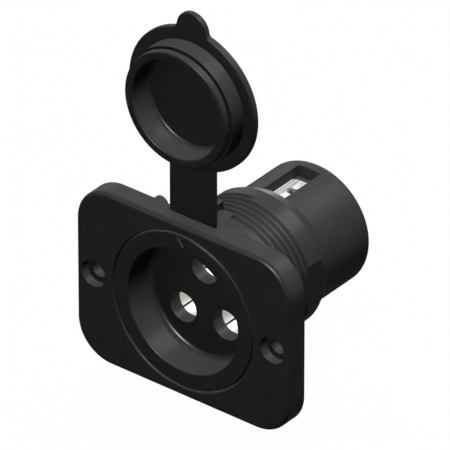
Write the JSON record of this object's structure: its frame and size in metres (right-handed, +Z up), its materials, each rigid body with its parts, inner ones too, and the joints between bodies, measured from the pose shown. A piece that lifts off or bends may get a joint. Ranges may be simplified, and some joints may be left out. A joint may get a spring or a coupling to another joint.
{
  "type": "trolling motor receptacle",
  "caption": "Flush-mount boat power socket: a plate with a keyed, threaded barrel, slotted contacts wired from behind, and a rubber plug cap on a strap.",
  "frame": {"origin": "centre of the mounting plate's back face, on the barrel axis", "axes": "+Z up, the socket's mouth looks to -Y, +Y along the barrel away from the front"},
  "size_m": [0.07, 0.0597, 0.1132],
  "materials": {
    "moulded_plate": "satin black moulding",
    "moulded_body": "satin black moulding",
    "moulded_housing": "satin black moulding",
    "seal_rubber": "plain black rubber",
    "nickel_contact": "turned brass, nickel plated",
    "spring_steel": "rolled spring strip",
    "screw_steel": "stainless",
    "cap_rubber": "satin black rubber"
  },
  "bodies": {
    "receptacle": {"flange_plate": "moulded_plate", "receptacle_body": "moulded_body", "lip_gasket": "seal_rubber", "rear_housing": "moulded_housing", "rear_seal": "seal_rubber", "contact_top": "nickel_contact", "contact_left": "nickel_contact", "contact_right": "nickel_contact", "contact_spring_top": "spring_steel", "contact_spring_left": "spring_steel", "contact_spring_right": "spring_steel", "clamp_screw_top": "screw_steel", "clamp_screw_left": "screw_steel", "clamp_screw_right": "screw_steel", "housing_screw_left": "screw_steel", "housing_screw_right": "screw_steel", "housing_screw_bottom": "screw_steel", "tether_ring": "cap_rubber"},
    "strap_link": {"tether_link": "cap_rubber"},
    "cap": {"sealing_cap": "cap_rubber"}
  },
  "joints": [
    {"name": "strap_bend", "type": "hinge", "parent": "receptacle", "child": "strap_link", "pos_m": [0, -0.00145, 0.02793], "axis": [1, 0, 0], "range_deg": [0, 90], "stiffness_Nm_per_rad": 0.01},
    {"name": "cap_bend", "type": "hinge", "parent": "strap_link", "child": "cap", "pos_m": [0, -0.00145, 0.03382], "axis": [1, 0, 0], "range_deg": [0, 90]}
  ],
  "couplings": [
    {"joint": "cap_bend", "follows": "strap_bend", "ratio": 1}
  ]
}
